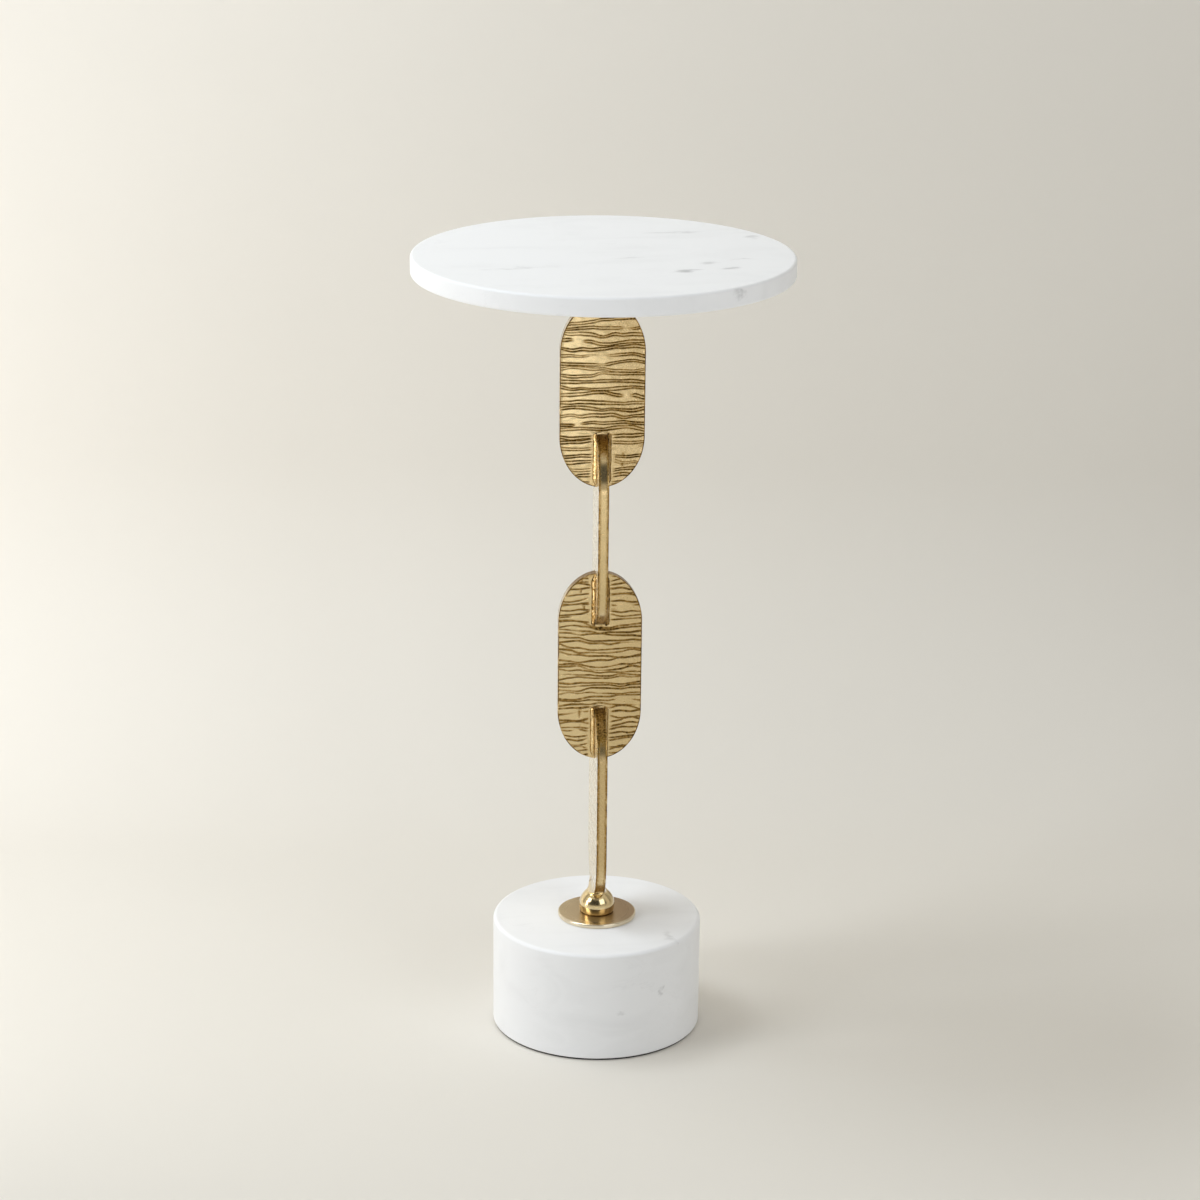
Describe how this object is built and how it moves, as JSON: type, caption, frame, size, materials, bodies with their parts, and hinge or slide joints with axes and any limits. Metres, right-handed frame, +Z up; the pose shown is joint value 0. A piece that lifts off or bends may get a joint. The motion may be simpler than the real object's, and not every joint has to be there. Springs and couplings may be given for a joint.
{
  "type": "wine table",
  "caption": "Small round drinks table: thin marble disc on a stem of crossed oval cast brass links, standing on a heavy marble cylinder.",
  "frame": {"origin": "centre of the felt pad's underside, on the floor", "axes": "+Z up along the stem; the upper and third links lie in the XZ plane and face -Y, the second and lowest links lie in the YZ plane"},
  "size_m": [0.254, 0.254, 0.547],
  "materials": {
    "marble": "polished white marble with faint grey veins",
    "brass": "cast brass with an antiqued, polished finish and darkened grooves",
    "steel": "zinc-plated steel",
    "felt": "pressed black felt"
  },
  "bodies": {
    "root": {"marble_top": "marble", "top_inserts": "brass", "top_screws": "steel", "mount_plate": "brass", "top_stud": "steel", "stud_nut": "steel", "head_boss": "brass", "upper_link": "brass", "second_link": "brass", "third_link": "brass", "lowest_link": "brass", "upper_braze": "brass", "middle_braze": "brass", "lower_braze": "brass", "foot_boss": "brass", "foot_flange": "brass", "marble_base": "marble", "tie_rod": "steel", "base_washer": "steel", "lock_washer": "steel", "base_nut": "steel", "base_pad": "felt"}
  },
  "joints": []
}
